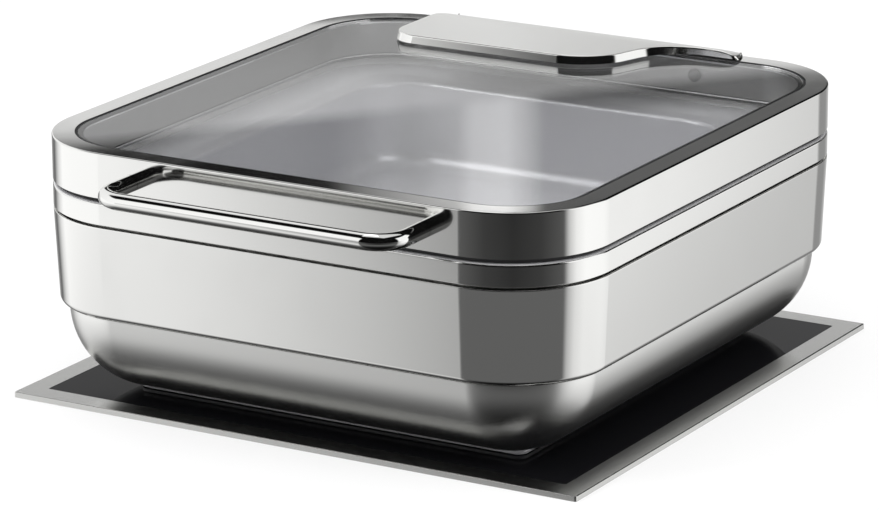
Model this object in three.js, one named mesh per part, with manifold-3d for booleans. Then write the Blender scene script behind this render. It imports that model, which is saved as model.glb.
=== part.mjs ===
// Square chafing dish for a hob: a deep polished water pan with a steel skirt, a hinged glass lid with a loop
// handle, a food pan in the rim, and the flat glass plate that the dish stands on.
// Millimetres, +Z up. -Y is the handle's side, +Y the hinge's side.
// The origin is the centre of the plate's underside.

import * as THREE from 'three';
import { mergeVertices } from 'three/addons/utils/BufferGeometryUtils.js';
import Module from 'manifold-3d';

const wasm = await Module();
wasm.setup();

// Driving dimensions

const GAP = 0.3;
const OVERRUN = 6;
const SHEET = 1.2;
const HALF_TURN = Math.PI;
const QUARTER_TURN = Math.PI / 2;

const BODY = { width: 430, depth: 459.2, height: 191, radius: 73.5, facets: 8 };

const PLATE = {
  width: 450.6,
  depth: 439.4,
  radius: 1.5,
  facets: 3,
  thickness: 4.1,
  edgeBevel: 0.8,
  rim: 17.3,
  floor: 0.8,
  glassBevel: 0.3,
};

const BASE_DISC = { sideInset: 59.5, endInset: 62.6, radius: 24, facets: 8, thickness: 2.9, edgeBevel: 0.6 };

const WATER_PAN = { sheet: 0.9, bottomBend: 60, floorRadius: 14, flangeInset: 2.5, bendSteps: 7 };

const SHELL = { stepHeight: 69.5, taper: 2.9, lipWidth: 6.2, lipHeight: 9, flange: 8, edge: 1, lipSteps: 4 };

const SEAM = { lowerGap: 1.5, upperGap: 3.4 };

const RIM = {
  height: 15.35,
  edge: 2,
  landing: 12,
  slopeWidth: 4,
  deckDrop: 3.6,
  ledge: 9.9,
  skirtDrop: 5.5,
  hem: 8,
  edgeSteps: 3,
};

const FOOD_PAN = {
  sideInset: 52.5,
  endInset: 52.6,
  facets: 8,
  sheet: 1.2,
  flange: 12,
  height: 65,
  draft: 3,
  wallRadius: 45,
  bottomRadius: 30,
  bottomBend: 14,
  bendSteps: 4,
};

const LID = {
  height: 32,
  edge: 2.6,
  edgeSteps: 3,
  flange: 16,
  glassThickness: 4,
  glassDrop: 0.5,
  glassBevel: 0.5,
  sealWidth: 1.4,
  ledge: 6,
  hem: 17.5,
  innerWall: 1,
  innerWallInset: 15.6,
};

const LID_GASKET = { inset: 3.5, width: 5.5 };

const HANDLE = { diameter: 12, span: 231, reach: 42.5, bend: 20, heightShare: 0.447, sides: 14, steps: 56 };

const HANDLE_SCREW = { headRadius: 5, headHeight: 2.4, shankRadius: 2.5, bite: 12, sides: 14 };

const HINGE = {
  sideInset: 128,
  axisBehind: 12.4,
  axisDrop: 3.6,
  pinRadius: 3,
  pinHeadRadius: 4.6,
  pinHead: 1.5,
  pinTail: 2.6,
  clip: 1,
  clipRadius: 5,
  washer: 1,
  washerRadius: 6,
  sides: 16,
  endSteps: 8,
};

const STRAP = { width: 14, thickness: 6, topMargin: 4, chamfer: 3.4, knuckleRadius: 7, shoulderShare: 0.297 };

const BRACKET = {
  width: 44,
  thickness: 2.5,
  edgeMargin: 1.175,
  earThickness: 3,
  earRadius: 6.5,
  earRoot: 1.5,
  screwSpacing: 33,
};

const BACKING = { endMargin: 16, edgeMargin: 2.675, thickness: 2 };

const SCREW = { headRadius: 3.5, headHeight: 2.2, shankRadius: 2, sides: 12 };

const STRAP_BOLT = { headRadius: 5, headHeight: 3.4, shankRadius: 2.5, sides: 14, heightShare: 0.4375 };

const STRAP_SCREW_HEIGHT_SHARE = 0.203;

const COVER = {
  leftInset: 81,
  rightInset: 75,
  tongueInset: 159,
  flareInset: 120,
  tongueReach: 90.6,
  wingReach: 17.6,
  curveReach: 30.6,
  rise: 7.5,
  sheet: 1.2,
  clearance: 1,
  strapClearance: 0.4,
  edge: 1.6,
  edgeSteps: 2,
  leftCorner: 22,
  rightCorner: 42,
  wingCorner: 12,
  curveDrop: 14.1,
  cornerDrop: 1.6,
  skirtFootShare: 0.36,
  screwHeightShare: 0.64,
  cornerSteps: 6,
  backSteps: 8,
};

const FINISH = {
  polishedSteel: { color: 0xd2d4d6, roughness: 0.1, metalness: 1 },
  satinSteel: { color: 0xb9b9b5, roughness: 0.34, metalness: 1 },
  blackGlass: { color: 0x0b0b0d, roughness: 0.06, metalness: 0 },
  clearGlass: { color: 0xdde5ea, roughness: 0.04, metalness: 0, transparent: true, opacity: 0.3 },
  silicone: { color: 0x1b1b1d, roughness: 0.65, metalness: 0 },
  screwSteel: { color: 0x9a9da1, roughness: 0.28, metalness: 1 },
};

// Heights and places worked out from the driving dimensions

const discFoot = PLATE.thickness + GAP;
const discTop = discFoot + BASE_DISC.thickness;
const waterPanFloor = discTop + GAP;
const lidTop = BODY.height;
const glassTop = lidTop - LID.glassDrop;
const lidLedgeTop = glassTop - LID.glassThickness - GAP;
const lidFoot = lidTop - LID.height;
const rimTop = lidFoot - SEAM.upperGap;
const deckTop = rimTop - RIM.deckDrop;
const ledgeTop = deckTop - FOOD_PAN.sheet - GAP;
const rimFoot = rimTop - RIM.height;
const shellTop = rimFoot - SEAM.lowerGap;
const waterFlangeFoot = shellTop + GAP;
const waterWallInset = SHELL.taper + SHELL.lipWidth + GAP;
const bodySide = BODY.width / 2;
const bodyBack = BODY.depth / 2;

const sideNames = ['left', 'right'];
const handleHeight = lidFoot + LID.height * HANDLE.heightShare;
const handleRootY = -bodyBack - GAP;
const handleArms = [-HANDLE.span / 2, HANDLE.span / 2];

const hingeCentres = [HINGE.sideInset - bodySide, bodySide - HINGE.sideInset];
const hingeAxisY = bodyBack + HINGE.axisBehind;
const hingeAxisZ = rimTop - HINGE.axisDrop;
const bracketMiddle = (rimFoot + rimTop) / 2;
const bracketFoot = rimFoot + BRACKET.edgeMargin;
const bracketTop = rimTop - BRACKET.edgeMargin;
const bracketFaceY = bodyBack + GAP + BRACKET.thickness;
const earInner = STRAP.width / 2 + GAP + HINGE.washer + GAP;
const earOuter = earInner + BRACKET.earThickness;

const strapNearY = bodyBack + GAP;
const strapFarY = strapNearY + STRAP.thickness;
const strapTop = lidTop - STRAP.topMargin;
const strapBoltHeight = lidFoot + LID.height * STRAP_BOLT.heightShare;
const strapScrewHeight = lidFoot + LID.height * STRAP_SCREW_HEIGHT_SHARE;
const coverScrewHeight = lidFoot + LID.height * COVER.screwHeightShare;
const coverSkirtFoot = lidFoot + LID.height * COVER.skirtFootShare;
const coverTop = lidTop + COVER.rise;
const coverBack = strapFarY + COVER.strapClearance + COVER.sheet;
const coverFront = bodyBack - COVER.tongueReach;
const coverCurveStart = bodyBack - COVER.curveReach;
const coverLeft = COVER.leftInset - bodySide;
const coverRight = bodySide - COVER.rightInset;

// Outlines and lofts

// Anticlockwise rectangle with round corners at one height.
function roundedRectangle(width, depth, radius, facets, z) {
  const corners = [
    { x: 1, y: -1, start: -QUARTER_TURN },
    { x: 1, y: 1, start: 0 },
    { x: -1, y: 1, start: QUARTER_TURN },
    { x: -1, y: -1, start: HALF_TURN },
  ];
  const points = [];
  for (const corner of corners) {
    for (let i = 0; i <= facets; i += 1) {
      const angle = corner.start + (QUARTER_TURN * i) / facets;
      const x = corner.x * (width / 2 - radius) + radius * Math.cos(angle);
      const y = corner.y * (depth / 2 - radius) + radius * Math.sin(angle);
      points.push(new THREE.Vector3(x, y, z));
    }
  }
  return points;
}

// An outline inside the body's, with its own distances from the sides and the ends.
function outlineInBody({ sideInset, endInset, facets, radius = BODY.radius - sideInset }) {
  return { width: BODY.width - 2 * sideInset, depth: BODY.depth - 2 * endInset, radius, facets };
}

// The outline drawn in by an inset. Its corners keep the same centres unless a radius is given.
function levelOf(outline, { inset, z, radius = Math.max(outline.radius - inset, SHEET) }) {
  const width = outline.width - 2 * inset;
  const depth = outline.depth - 2 * inset;
  return roundedRectangle(width, depth, radius, outline.facets, z);
}

// Skin over outlines that have the same number of points. An open loft is capped at both ends.
function loft(levels, closed) {
  const count = levels[0].length;
  const positions = levels.flat().flatMap((point) => point.toArray());
  const triangles = [];
  const spans = closed ? levels.length : levels.length - 1;
  for (let span = 0; span < spans; span += 1) {
    const near = span * count;
    const far = ((span + 1) % levels.length) * count;
    for (let i = 0; i < count; i += 1) {
      const next = (i + 1) % count;
      triangles.push(near + i, near + next, far + next);
      triangles.push(near + i, far + next, far + i);
    }
  }
  if (!closed) {
    const last = (levels.length - 1) * count;
    for (let i = 1; i < count - 1; i += 1) {
      triangles.push(0, i + 1, i);
      triangles.push(last, last + i, last + i + 1);
    }
  }
  const geometry = new THREE.BufferGeometry();
  geometry.setAttribute('position', new THREE.Float32BufferAttribute(positions, 3));
  geometry.setIndex(triangles);
  geometry.computeVertexNormals();
  return geometry;
}

// A frame whose section is a closed profile of insets and heights, its outer face listed upwards.
function frameOf(outline, profile) {
  return loft(profile.map((level) => levelOf(outline, level)), true);
}

// A tray, bowl or slab whose profile runs from the middle of its underside to the middle of its top.
function trayOf(outline, profile) {
  return loft(profile.map((level) => levelOf(outline, level)), false);
}

// Points of an elliptical bend in a profile, its angle counted from straight inwards towards up.
function bend({ inset, z }, { width, height }, fromAngle, toAngle, steps) {
  const points = [];
  for (let i = 0; i <= steps; i += 1) {
    const angle = fromAngle + ((toAngle - fromAngle) * i) / steps;
    points.push({ inset: inset + width * Math.cos(angle), z: z + height * Math.sin(angle) });
  }
  return points;
}

// Points of an elliptical arc in a flat drawing.
function arcPoints(centre, size, fromAngle, toAngle, steps) {
  const points = [];
  for (let i = 0; i <= steps; i += 1) {
    const angle = fromAngle + ((toAngle - fromAngle) * i) / steps;
    points.push(new THREE.Vector2(centre.x + size.x * Math.cos(angle), centre.y + size.y * Math.sin(angle)));
  }
  return points;
}

// Extrusions and booleans

// A shape drawn with y and z as its two axes, extruded along x.
function alongX(shape, fromX, toX) {
  const geometry = new THREE.ExtrudeGeometry(shape, { depth: toX - fromX, bevelEnabled: false });
  const turn = new THREE.Matrix4().makeBasis(
    new THREE.Vector3(0, 1, 0),
    new THREE.Vector3(0, 0, 1),
    new THREE.Vector3(1, 0, 0),
  );
  geometry.applyMatrix4(turn);
  geometry.translate(fromX, 0, 0);
  return geometry;
}

function boxBetween(low, high) {
  const size = high.map((value, axis) => value - low[axis]);
  const centre = high.map((value, axis) => (value + low[axis]) / 2);
  return new THREE.BoxGeometry(...size).translate(...centre);
}

function solidOf(geometry) {
  const bare = geometry.clone();
  bare.deleteAttribute('normal');
  bare.deleteAttribute('uv');
  const merged = mergeVertices(bare);
  const mesh = new wasm.Mesh({
    numProp: 3,
    vertProperties: new Float32Array(merged.attributes.position.array),
    triVerts: new Uint32Array(merged.index.array),
  });
  return new wasm.Manifold(mesh);
}

function geometryOf(solid) {
  const mesh = solid.getMesh();
  const geometry = new THREE.BufferGeometry();
  geometry.setAttribute('position', new THREE.Float32BufferAttribute(mesh.vertProperties, 3));
  geometry.setIndex([...mesh.triVerts]);
  geometry.computeVertexNormals();
  return geometry;
}

function cut(geometry, cutters) {
  let solid = solidOf(geometry);
  for (const cutter of cutters) {
    solid = solid.subtract(solidOf(cutter));
  }
  return geometryOf(solid);
}

function join(geometries) {
  let solid = solidOf(geometries[0]);
  for (const geometry of geometries.slice(1)) {
    solid = solid.add(solidOf(geometry));
  }
  return geometryOf(solid);
}

// Round cutter along y from one y to another.
function holeAlongY(x, fromY, toY, z, radius, sides) {
  const length = toY - fromY;
  return new THREE.CylinderGeometry(radius, radius, length, sides).translate(x, fromY + length / 2, z);
}

// Round cutter along x.
function holeAlongX(fromX, toX, y, z, radius, sides) {
  const length = toX - fromX;
  const cutter = new THREE.CylinderGeometry(radius, radius, length, sides).rotateZ(QUARTER_TURN);
  return cutter.translate(fromX + length / 2, y, z);
}

// Screw with its head's underside at the origin, its shank along -y and its head along +y.
function screwOf({ headRadius, headHeight, shankRadius, sides }, shankLength) {
  const crownShare = 0.62;
  const shoulderShare = 0.45;
  const profile = [
    new THREE.Vector2(0, -shankLength),
    new THREE.Vector2(shankRadius, -shankLength),
    new THREE.Vector2(shankRadius, 0),
    new THREE.Vector2(headRadius, 0),
    new THREE.Vector2(headRadius, headHeight * shoulderShare),
    new THREE.Vector2(headRadius * crownShare, headHeight),
    new THREE.Vector2(0, headHeight),
  ];
  return new THREE.LatheGeometry(profile, sides);
}

// Flat ring round the y axis, from y = 0 upwards.
function washerOf(innerRadius, outerRadius, thickness, sides) {
  const profile = [
    new THREE.Vector2(innerRadius, 0),
    new THREE.Vector2(outerRadius, 0),
    new THREE.Vector2(outerRadius, thickness),
    new THREE.Vector2(innerRadius, thickness),
    new THREE.Vector2(innerRadius, 0),
  ];
  return new THREE.LatheGeometry(profile, sides);
}

// Groups and pieces

const chafingDish = new THREE.Group();
const plateGroup = new THREE.Group();
const dishGroup = new THREE.Group();
const lidGroup = new THREE.Group();
chafingDish.add(plateGroup, dishGroup);
dishGroup.add(lidGroup);

function addPiece(group, name, geometry, finish) {
  const mesh = new THREE.Mesh(geometry, new THREE.MeshStandardMaterial(finish));
  mesh.name = name;
  group.add(mesh);
  return mesh;
}

// Plate

function addPlate() {
  const trayProfile = [
    { inset: 0, z: 0 },
    { inset: 0, z: PLATE.thickness - PLATE.edgeBevel },
    { inset: PLATE.edgeBevel, z: PLATE.thickness, radius: PLATE.radius },
    { inset: PLATE.rim, z: PLATE.thickness, radius: PLATE.radius },
    { inset: PLATE.rim, z: PLATE.floor, radius: PLATE.radius },
  ];
  addPiece(plateGroup, 'plate_tray', trayOf(PLATE, trayProfile), FINISH.satinSteel);

  const glassInset = PLATE.rim + GAP;
  const glassProfile = [
    { inset: glassInset, z: PLATE.floor + GAP, radius: PLATE.radius },
    { inset: glassInset, z: PLATE.thickness - PLATE.glassBevel, radius: PLATE.radius },
    { inset: glassInset + PLATE.glassBevel, z: PLATE.thickness, radius: PLATE.radius },
  ];
  addPiece(plateGroup, 'plate_glass', trayOf(PLATE, glassProfile), FINISH.blackGlass);
}

// Base disc and water pan

function addBaseDisc() {
  const bevel = BASE_DISC.edgeBevel;
  const profile = [
    { inset: bevel, z: discFoot },
    { inset: 0, z: discFoot + bevel },
    { inset: 0, z: discTop - bevel },
    { inset: bevel, z: discTop },
  ];
  addPiece(dishGroup, 'base_disc', trayOf(outlineInBody(BASE_DISC), profile), FINISH.satinSteel);
}

function addWaterPan() {
  const { sheet, bottomBend } = WATER_PAN;
  const wallRadius = BODY.radius - waterWallInset;
  const bendCentre = { inset: waterWallInset + bottomBend, z: waterPanFloor + bottomBend };
  const innerBend = bottomBend - sheet;
  // The plan corners tighten from the wall to the flat floor.
  const withPlanRadius = (point) => {
    const depthShare = (point.inset - waterWallInset) / bottomBend;
    return { ...point, radius: wallRadius + (WATER_PAN.floorRadius - wallRadius) * depthShare };
  };
  const outerArc = { width: bottomBend, height: bottomBend };
  const innerArc = { width: innerBend, height: innerBend };
  const outer = bend(bendCentre, outerArc, -QUARTER_TURN, -HALF_TURN, WATER_PAN.bendSteps);
  const inner = bend(bendCentre, innerArc, -HALF_TURN, -QUARTER_TURN, WATER_PAN.bendSteps);
  const profile = [
    ...outer.map(withPlanRadius),
    { inset: waterWallInset, z: waterFlangeFoot },
    { inset: WATER_PAN.flangeInset, z: waterFlangeFoot },
    { inset: WATER_PAN.flangeInset, z: waterFlangeFoot + sheet },
    { inset: waterWallInset + sheet, z: waterFlangeFoot + sheet },
    ...inner.map(withPlanRadius),
  ];
  addPiece(dishGroup, 'water_pan', trayOf(BODY, profile), FINISH.polishedSteel);
}

// Outer skirt of the dish, from the lower seam to the step above the bowl

function addOuterShell() {
  const { stepHeight, taper, lipWidth, lipHeight, edge, flange, lipSteps } = SHELL;
  const lipEnd = taper + lipWidth;
  const lipCentre = { inset: lipEnd, z: stepHeight + lipHeight };
  const outerLip = { width: lipWidth, height: lipHeight };
  const innerLip = { width: lipWidth - SHEET, height: lipHeight - SHEET };
  const profile = [
    ...bend(lipCentre, outerLip, -QUARTER_TURN, -HALF_TURN, lipSteps),
    { inset: 0, z: shellTop - edge },
    { inset: edge, z: shellTop },
    { inset: flange, z: shellTop },
    { inset: flange, z: shellTop - SHEET },
    { inset: SHEET, z: shellTop - SHEET },
    ...bend(lipCentre, innerLip, -HALF_TURN, -QUARTER_TURN, lipSteps),
  ];
  addPiece(dishGroup, 'outer_shell', frameOf(BODY, profile), FINISH.polishedSteel);
}

// Rim frame: the band between the seams, and the deck that holds the food pan

function bracketScrewPlaces() {
  const half = BRACKET.screwSpacing / 2;
  return hingeCentres.flatMap((centre) => [centre - half, centre + half]);
}

function addRimFrame() {
  const { edge, landing, slopeWidth, ledge, skirtDrop, hem, edgeSteps } = RIM;
  const deckStart = landing + slopeWidth;
  const recess = FOOD_PAN.sideInset - GAP;
  const opening = recess + ledge;
  const edgeCentre = { inset: edge, z: rimTop - edge };
  const innerEdge = edge - SHEET;
  const outerArc = { width: edge, height: edge };
  const innerArc = { width: innerEdge, height: innerEdge };
  const profile = [
    { inset: 0, z: rimFoot },
    ...bend(edgeCentre, outerArc, HALF_TURN, QUARTER_TURN, edgeSteps),
    { inset: landing, z: rimTop },
    { inset: deckStart, z: deckTop },
    { inset: recess, z: deckTop },
    { inset: recess, z: ledgeTop },
    { inset: opening, z: ledgeTop },
    { inset: opening, z: ledgeTop - skirtDrop },
    { inset: opening - SHEET, z: ledgeTop - skirtDrop },
    { inset: opening - SHEET, z: ledgeTop - SHEET },
    { inset: recess - SHEET, z: ledgeTop - SHEET },
    { inset: recess - SHEET, z: deckTop - SHEET },
    { inset: deckStart, z: deckTop - SHEET },
    { inset: landing, z: rimTop - SHEET },
    ...bend(edgeCentre, innerArc, QUARTER_TURN, HALF_TURN, edgeSteps),
    { inset: SHEET, z: rimFoot + SHEET },
    { inset: hem, z: rimFoot + SHEET },
    { inset: hem, z: rimFoot },
  ];
  const holeRadius = SCREW.shankRadius + GAP;
  const fromY = bodyBack - SHEET - OVERRUN;
  const toY = bodyBack + OVERRUN;
  const holes = bracketScrewPlaces().map((x) => (
    holeAlongY(x, fromY, toY, bracketMiddle, holeRadius, SCREW.sides)
  ));
  addPiece(dishGroup, 'rim_frame', cut(frameOf(BODY, profile), holes), FINISH.polishedSteel);
}

// Food pan, hung by its flange in the rim frame's recess

function addFoodPan() {
  const { sheet, flange, height, draft, wallRadius, bottomRadius, bottomBend, bendSteps } = FOOD_PAN;
  const foot = deckTop - height;
  const bottomInset = flange + draft;
  const centre = { inset: bottomInset + bottomBend, z: foot + bottomBend };
  const innerBend = bottomBend - sheet;
  const withPlanRadius = (point) => ({ ...point, radius: bottomRadius - (point.inset - bottomInset) });
  const outerArc = { width: bottomBend, height: bottomBend };
  const innerArc = { width: innerBend, height: innerBend };
  const profile = [
    ...bend(centre, outerArc, -QUARTER_TURN, -HALF_TURN, bendSteps).map(withPlanRadius),
    { inset: flange, z: deckTop - sheet, radius: wallRadius },
    { inset: 0, z: deckTop - sheet },
    { inset: 0, z: deckTop },
    { inset: flange, z: deckTop, radius: wallRadius },
    { inset: flange + sheet, z: deckTop - sheet, radius: wallRadius - sheet },
    ...bend(centre, innerArc, -HALF_TURN, -QUARTER_TURN, bendSteps).map(withPlanRadius),
  ];
  addPiece(dishGroup, 'food_pan', trayOf(outlineInBody(FOOD_PAN), profile), FINISH.satinSteel);
}

// Dish side of the hinge: a backing plate in the band, two brackets with two ears each, their screws and pins

function addHingeBacking() {
  const halfLength = bodySide - HINGE.sideInset + BRACKET.screwSpacing / 2 + BACKING.endMargin;
  const outerY = bodyBack - SHEET - GAP;
  const innerY = outerY - BACKING.thickness;
  const plate = boxBetween(
    [-halfLength, innerY, rimFoot + BACKING.edgeMargin],
    [halfLength, outerY, rimTop - BACKING.edgeMargin],
  );
  const holes = bracketScrewPlaces().map((x) => (
    holeAlongY(x, innerY - OVERRUN, outerY + OVERRUN, bracketMiddle, SCREW.shankRadius + GAP, SCREW.sides)
  ));
  addPiece(dishGroup, 'hinge_backing', cut(plate, holes), FINISH.satinSteel);
}

function earShape() {
  const rootY = bracketFaceY - BRACKET.earRoot;
  const centre = { x: hingeAxisY, y: hingeAxisZ };
  const size = { x: BRACKET.earRadius, y: BRACKET.earRadius };
  return new THREE.Shape([
    new THREE.Vector2(rootY, bracketFoot),
    new THREE.Vector2(bracketFaceY, bracketFoot),
    ...arcPoints(centre, size, -HALF_TURN / 3, HALF_TURN * 0.6, HINGE.endSteps),
    new THREE.Vector2(rootY, bracketTop),
  ]);
}

function addHingeBracket(name, centre) {
  const backY = bodyBack + GAP;
  const base = boxBetween(
    [centre - BRACKET.width / 2, backY, bracketFoot],
    [centre + BRACKET.width / 2, bracketFaceY, bracketTop],
  );
  const ears = [
    alongX(earShape(), centre - earOuter, centre - earInner),
    alongX(earShape(), centre + earInner, centre + earOuter),
  ];
  const reach = BRACKET.width / 2 + OVERRUN;
  const pinHole = holeAlongX(
    centre - reach, centre + reach, hingeAxisY, hingeAxisZ, HINGE.pinRadius + GAP, HINGE.sides,
  );
  const half = BRACKET.screwSpacing / 2;
  const holeRadius = SCREW.shankRadius + GAP;
  const screwHoles = [centre - half, centre + half].map((x) => (
    holeAlongY(x, backY - OVERRUN, bracketFaceY + OVERRUN, bracketMiddle, holeRadius, SCREW.sides)
  ));
  const bracket = cut(join([base, ...ears]), [pinHole, ...screwHoles]);
  addPiece(dishGroup, name, bracket, FINISH.polishedSteel);
}

function addBracketScrews() {
  const seatY = bracketFaceY + GAP;
  const shankLength = seatY - (bodyBack - SHEET - GAP - BACKING.thickness);
  bracketScrewPlaces().forEach((x, index) => {
    const name = `bracket_screw_${index + 1}`;
    const screw = addPiece(dishGroup, name, screwOf(SCREW, shankLength), FINISH.screwSteel);
    screw.position.set(x, seatY, bracketMiddle);
  });
}

function addPin(name, centre) {
  const shank = 2 * earOuter + GAP + HINGE.pinTail;
  const pin = {
    headRadius: HINGE.pinHeadRadius,
    headHeight: HINGE.pinHead,
    shankRadius: HINGE.pinRadius,
    sides: HINGE.sides,
  };
  const mesh = addPiece(dishGroup, name, screwOf(pin, shank), FINISH.screwSteel);
  mesh.rotation.z = -QUARTER_TURN;
  mesh.position.set(centre + earOuter + GAP, hingeAxisY, hingeAxisZ);
}

function addRingOnPin(name, fromX, thickness, radius, finish) {
  const ring = washerOf(HINGE.pinRadius + GAP, radius, thickness, HINGE.sides);
  const mesh = addPiece(dishGroup, name, ring, finish);
  mesh.rotation.z = -QUARTER_TURN;
  mesh.position.set(fromX, hingeAxisY, hingeAxisZ);
}

function addHingeUnits() {
  hingeCentres.forEach((centre, index) => {
    const side = sideNames[index];
    const washerStart = STRAP.width / 2 + GAP;
    addHingeBracket(`hinge_bracket_${side}`, centre);
    addPin(`hinge_pin_${side}`, centre);
    addRingOnPin(
      `friction_washer_${side}_inner`, centre - washerStart - HINGE.washer,
      HINGE.washer, HINGE.washerRadius, FINISH.silicone,
    );
    addRingOnPin(
      `friction_washer_${side}_outer`, centre + washerStart,
      HINGE.washer, HINGE.washerRadius, FINISH.silicone,
    );
    addRingOnPin(
      `pin_clip_${side}`, centre - earOuter - GAP - HINGE.clip,
      HINGE.clip, HINGE.clipRadius, FINISH.screwSteel,
    );
  });
}

// Lid ring, its inner wall, glass, seal and gasket

function lidRingHoles() {
  const outer = bodyBack + OVERRUN;
  const inner = bodyBack - SHEET - OVERRUN;
  const handleHole = HANDLE_SCREW.shankRadius + GAP;
  const boltHole = STRAP_BOLT.shankRadius + GAP;
  const screwHole = SCREW.shankRadius + GAP;
  return [
    ...handleArms.map((x) => holeAlongY(x, -outer, -inner, handleHeight, handleHole, HANDLE_SCREW.sides)),
    ...hingeCentres.map((x) => holeAlongY(x, inner, outer, strapBoltHeight, boltHole, STRAP_BOLT.sides)),
    ...hingeCentres.map((x) => holeAlongY(x, inner, outer, strapScrewHeight, screwHole, SCREW.sides)),
  ];
}

function addLidRing() {
  const { edge, edgeSteps, flange } = LID;
  const edgeCentre = { inset: edge, z: lidTop - edge };
  const innerEdge = edge - SHEET;
  const outerArc = { width: edge, height: edge };
  const innerArc = { width: innerEdge, height: innerEdge };
  const profile = [
    { inset: 0, z: lidFoot },
    ...bend(edgeCentre, outerArc, HALF_TURN, QUARTER_TURN, edgeSteps),
    { inset: flange, z: lidTop },
    { inset: flange, z: lidTop - SHEET },
    ...bend(edgeCentre, innerArc, QUARTER_TURN, HALF_TURN, edgeSteps),
    { inset: SHEET, z: lidFoot },
  ];
  addPiece(lidGroup, 'lid_ring', cut(frameOf(BODY, profile), lidRingHoles()), FINISH.polishedSteel);
}

// Flat frame welded inside the foot of the ring. It carries the inner wall and presses on the gasket.
function addLidFootFrame() {
  const { hem } = LID;
  const outerInset = SHEET + GAP;
  const profile = [
    { inset: outerInset, z: lidFoot },
    { inset: outerInset, z: lidFoot + SHEET },
    { inset: hem, z: lidFoot + SHEET },
    { inset: hem, z: lidFoot },
  ];
  addPiece(lidGroup, 'lid_foot_frame', frameOf(BODY, profile), FINISH.polishedSteel);
}

// Angle frame welded under the flange of the ring. It carries the glass.
function addGlassLedge() {
  const { flange, ledge } = LID;
  const profile = [
    { inset: flange - SHEET, z: lidLedgeTop - SHEET },
    { inset: flange - SHEET, z: lidTop - SHEET - GAP },
    { inset: flange, z: lidTop - SHEET - GAP },
    { inset: flange, z: lidLedgeTop },
    { inset: flange + ledge, z: lidLedgeTop },
    { inset: flange + ledge, z: lidLedgeTop - SHEET },
  ];
  addPiece(lidGroup, 'glass_ledge', frameOf(BODY, profile), FINISH.polishedSteel);
}

function addLidInnerWall() {
  const outerInset = LID.innerWallInset;
  const innerInset = outerInset + LID.innerWall;
  const foot = lidFoot + SHEET + GAP;
  const top = lidLedgeTop - SHEET - GAP;
  const profile = [
    { inset: outerInset, z: foot },
    { inset: outerInset, z: top },
    { inset: innerInset, z: top },
    { inset: innerInset, z: foot },
  ];
  const wallY = bodyBack - innerInset;
  const holeRadius = STRAP_BOLT.shankRadius + GAP;
  const holes = hingeCentres.map((x) => (
    holeAlongY(x, wallY - OVERRUN, wallY + OVERRUN, strapBoltHeight, holeRadius, STRAP_BOLT.sides)
  ));
  addPiece(lidGroup, 'lid_inner_wall', cut(frameOf(BODY, profile), holes), FINISH.satinSteel);
}

function addLidGlass() {
  const { glassBevel, sealWidth, flange } = LID;
  const glassInset = flange + GAP + sealWidth + GAP;
  const foot = lidLedgeTop + GAP;
  const glassProfile = [
    { inset: glassInset + glassBevel, z: foot },
    { inset: glassInset, z: foot + glassBevel },
    { inset: glassInset, z: glassTop - glassBevel },
    { inset: glassInset + glassBevel, z: glassTop },
  ];
  addPiece(lidGroup, 'lid_glass', trayOf(BODY, glassProfile), FINISH.clearGlass);

  const sealProfile = [
    { inset: flange + GAP, z: foot },
    { inset: flange + GAP, z: glassTop },
    { inset: flange + GAP + sealWidth, z: glassTop },
    { inset: flange + GAP + sealWidth, z: foot },
  ];
  addPiece(lidGroup, 'glass_seal', frameOf(BODY, sealProfile), FINISH.silicone);
}

function addLidGasket() {
  const inner = LID_GASKET.inset + LID_GASKET.width;
  const profile = [
    { inset: LID_GASKET.inset, z: rimTop + GAP },
    { inset: LID_GASKET.inset, z: lidFoot - GAP },
    { inset: inner, z: lidFoot - GAP },
    { inset: inner, z: rimTop + GAP },
  ];
  addPiece(lidGroup, 'lid_gasket', frameOf(BODY, profile), FINISH.silicone);
}

// Loop handle and its two screws

function handlePath() {
  const rootY = handleRootY;
  const barY = -bodyBack - HANDLE.reach;
  const armX = HANDLE.span / 2;
  const roundness = (4 / 3) * (Math.SQRT2 - 1) * HANDLE.bend;
  const at = (x, y) => new THREE.Vector3(x, y, handleHeight);
  const path = new THREE.CurvePath();
  path.add(new THREE.LineCurve3(at(-armX, rootY), at(-armX, barY + HANDLE.bend)));
  path.add(new THREE.CubicBezierCurve3(
    at(-armX, barY + HANDLE.bend),
    at(-armX, barY + HANDLE.bend - roundness),
    at(-armX + HANDLE.bend - roundness, barY),
    at(-armX + HANDLE.bend, barY),
  ));
  path.add(new THREE.LineCurve3(at(-armX + HANDLE.bend, barY), at(armX - HANDLE.bend, barY)));
  path.add(new THREE.CubicBezierCurve3(
    at(armX - HANDLE.bend, barY),
    at(armX - HANDLE.bend + roundness, barY),
    at(armX, barY + HANDLE.bend - roundness),
    at(armX, barY + HANDLE.bend),
  ));
  path.add(new THREE.LineCurve3(at(armX, barY + HANDLE.bend), at(armX, rootY)));
  return path;
}

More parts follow.
